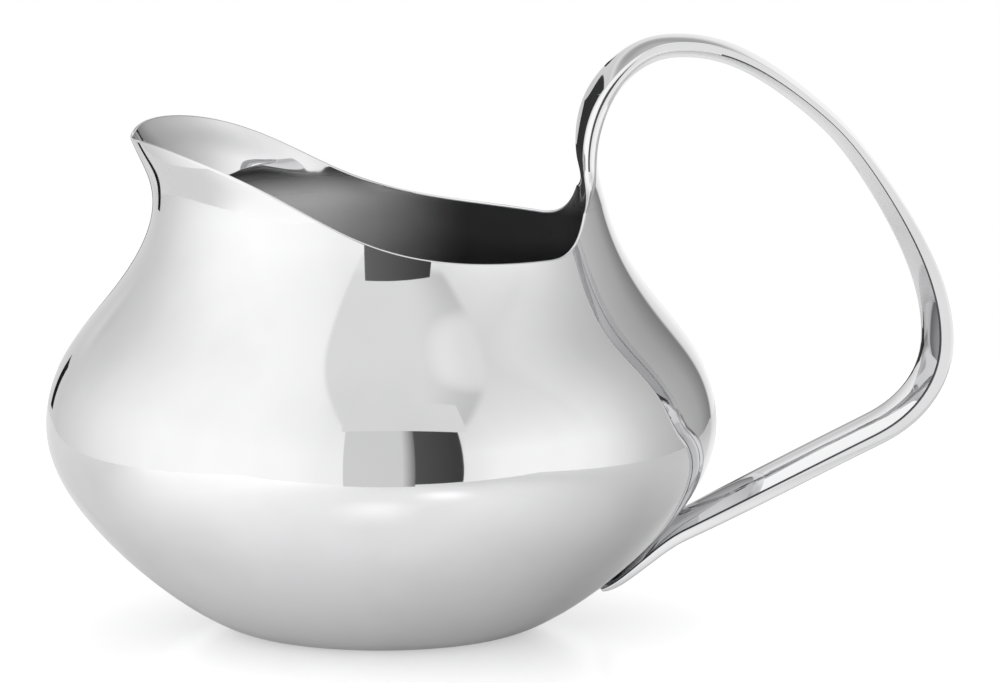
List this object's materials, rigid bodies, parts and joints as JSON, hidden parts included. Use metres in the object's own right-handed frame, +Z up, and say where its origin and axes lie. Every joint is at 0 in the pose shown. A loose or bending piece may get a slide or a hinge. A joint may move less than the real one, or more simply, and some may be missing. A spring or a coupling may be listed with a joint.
{
  "type": "milk jug",
  "caption": "Bellied stainless steel milk jug with a sloping rim, broad pouring spout and a tall loop handle that grows out of the rear rim and lands on the lower bowl.",
  "frame": {"origin": "centre of the flat base, on the axis of the body", "axes": "+Z up along the axis of the body; +X from the spout towards the handle; Y across, with y = 0 the plane of symmetry"},
  "size_m": [0.1432, 0.106, 0.0946],
  "materials": {
    "body_steel": "mirror-polished stainless steel",
    "handle_steel": "mirror-polished stainless steel"
  },
  "bodies": {
    "root": {"bowl_shell": "body_steel", "shoulder_shell": "body_steel", "handle_root": "handle_steel", "handle_inner_shell": "handle_steel", "handle_outer_shell": "handle_steel", "handle_tail": "handle_steel"}
  },
  "joints": []
}
